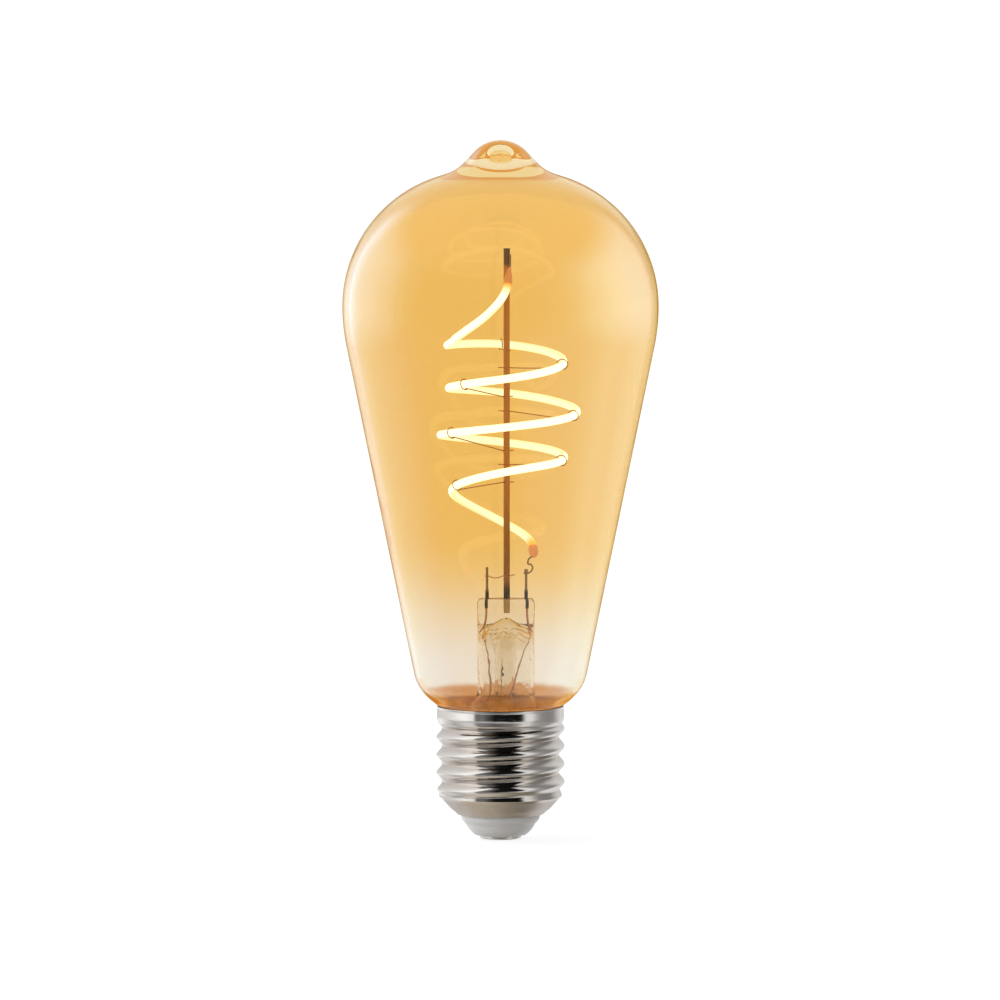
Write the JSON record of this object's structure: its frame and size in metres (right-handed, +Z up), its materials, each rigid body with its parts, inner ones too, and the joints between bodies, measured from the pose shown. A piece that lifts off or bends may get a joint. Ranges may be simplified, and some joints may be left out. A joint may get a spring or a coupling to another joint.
{
  "type": "filament lamp",
  "caption": "Pear-shaped amber filament bulb on a threaded screw cap, with a glass stem, a spiral flexible LED filament and a wireless driver hidden in the cap.",
  "frame": {"origin": "centre of the contact's flat underside, on the lamp's axis", "axes": "+Z up the axis from the contact to the glass tip, X across the two lead posts with the filament's hook at +X, -Y the front"},
  "size_m": [0.064, 0.064, 0.142],
  "materials": {
    "bulb_glass": "clear soda glass with an amber lustre that fades out towards the neck",
    "stem_glass": "clear lead glass",
    "nickel_plate": "bright nickel plate on rolled sheet",
    "contact_metal": "tinned, satin",
    "white_insulator": "white, satin",
    "cement": "brown capping cement, matt",
    "mast_metal": "copper-coated drawn rod, darkened at its foot",
    "nickel_wire": "drawn nickel wire, oxidised",
    "copper_wire": "bare copper wire",
    "phosphor": "phosphor-filled silicone, lit, near white outside and pale yellow inside",
    "orange_silicone": "translucent orange silicone, glowing from the filament",
    "sleeve_film": "white insulating plastic",
    "circuit_board": "green solder mask",
    "black_epoxy": "moulded black epoxy",
    "can_aluminium": "drawn can",
    "ferrite": "dark ferrite",
    "tinned_steel": "tinned sheet",
    "resistor_enamel": "blue-green enamel",
    "wire_insulation": "thin insulated hook-up wire"
  },
  "bodies": {
    "root": {"glass_envelope": "bulb_glass", "stem_glass": "stem_glass", "exhaust_tube": "stem_glass", "screw_shell": "nickel_plate", "centre_contact": "contact_metal", "base_insulator": "white_insulator", "capping_cement": "cement", "support_mast": "mast_metal", "lead_post_left": "nickel_wire", "lead_post_right": "nickel_wire", "upper_end_tab": "nickel_wire", "filament_hook": "nickel_wire", "seal_wire_left": "copper_wire", "seal_wire_right": "copper_wire", "outer_lead_left": "copper_wire", "outer_lead_right": "copper_wire", "jumper_wire": "copper_wire", "filament_tie_1": "copper_wire", "filament_tie_2": "copper_wire", "filament_tie_3": "copper_wire", "filament_tie_4": "copper_wire", "filament_tie_5": "copper_wire", "filament_tie_6": "copper_wire", "filament_tie_7": "copper_wire", "led_filament": "phosphor", "upper_end_sleeve": "orange_silicone", "lower_end_sleeve": "orange_silicone", "driver_sleeve": "sleeve_film", "driver_board": "circuit_board", "wireless_board": "circuit_board", "bridge_rectifier": "black_epoxy", "driver_chip": "black_epoxy", "smoothing_capacitor": "can_aluminium", "input_inductor": "ferrite", "module_shield": "tinned_steel", "fuse_resistor": "resistor_enamel", "aerial_wire": "wire_insulation", "shell_wire": "wire_insulation", "contact_wire": "wire_insulation"}
  },
  "joints": []
}
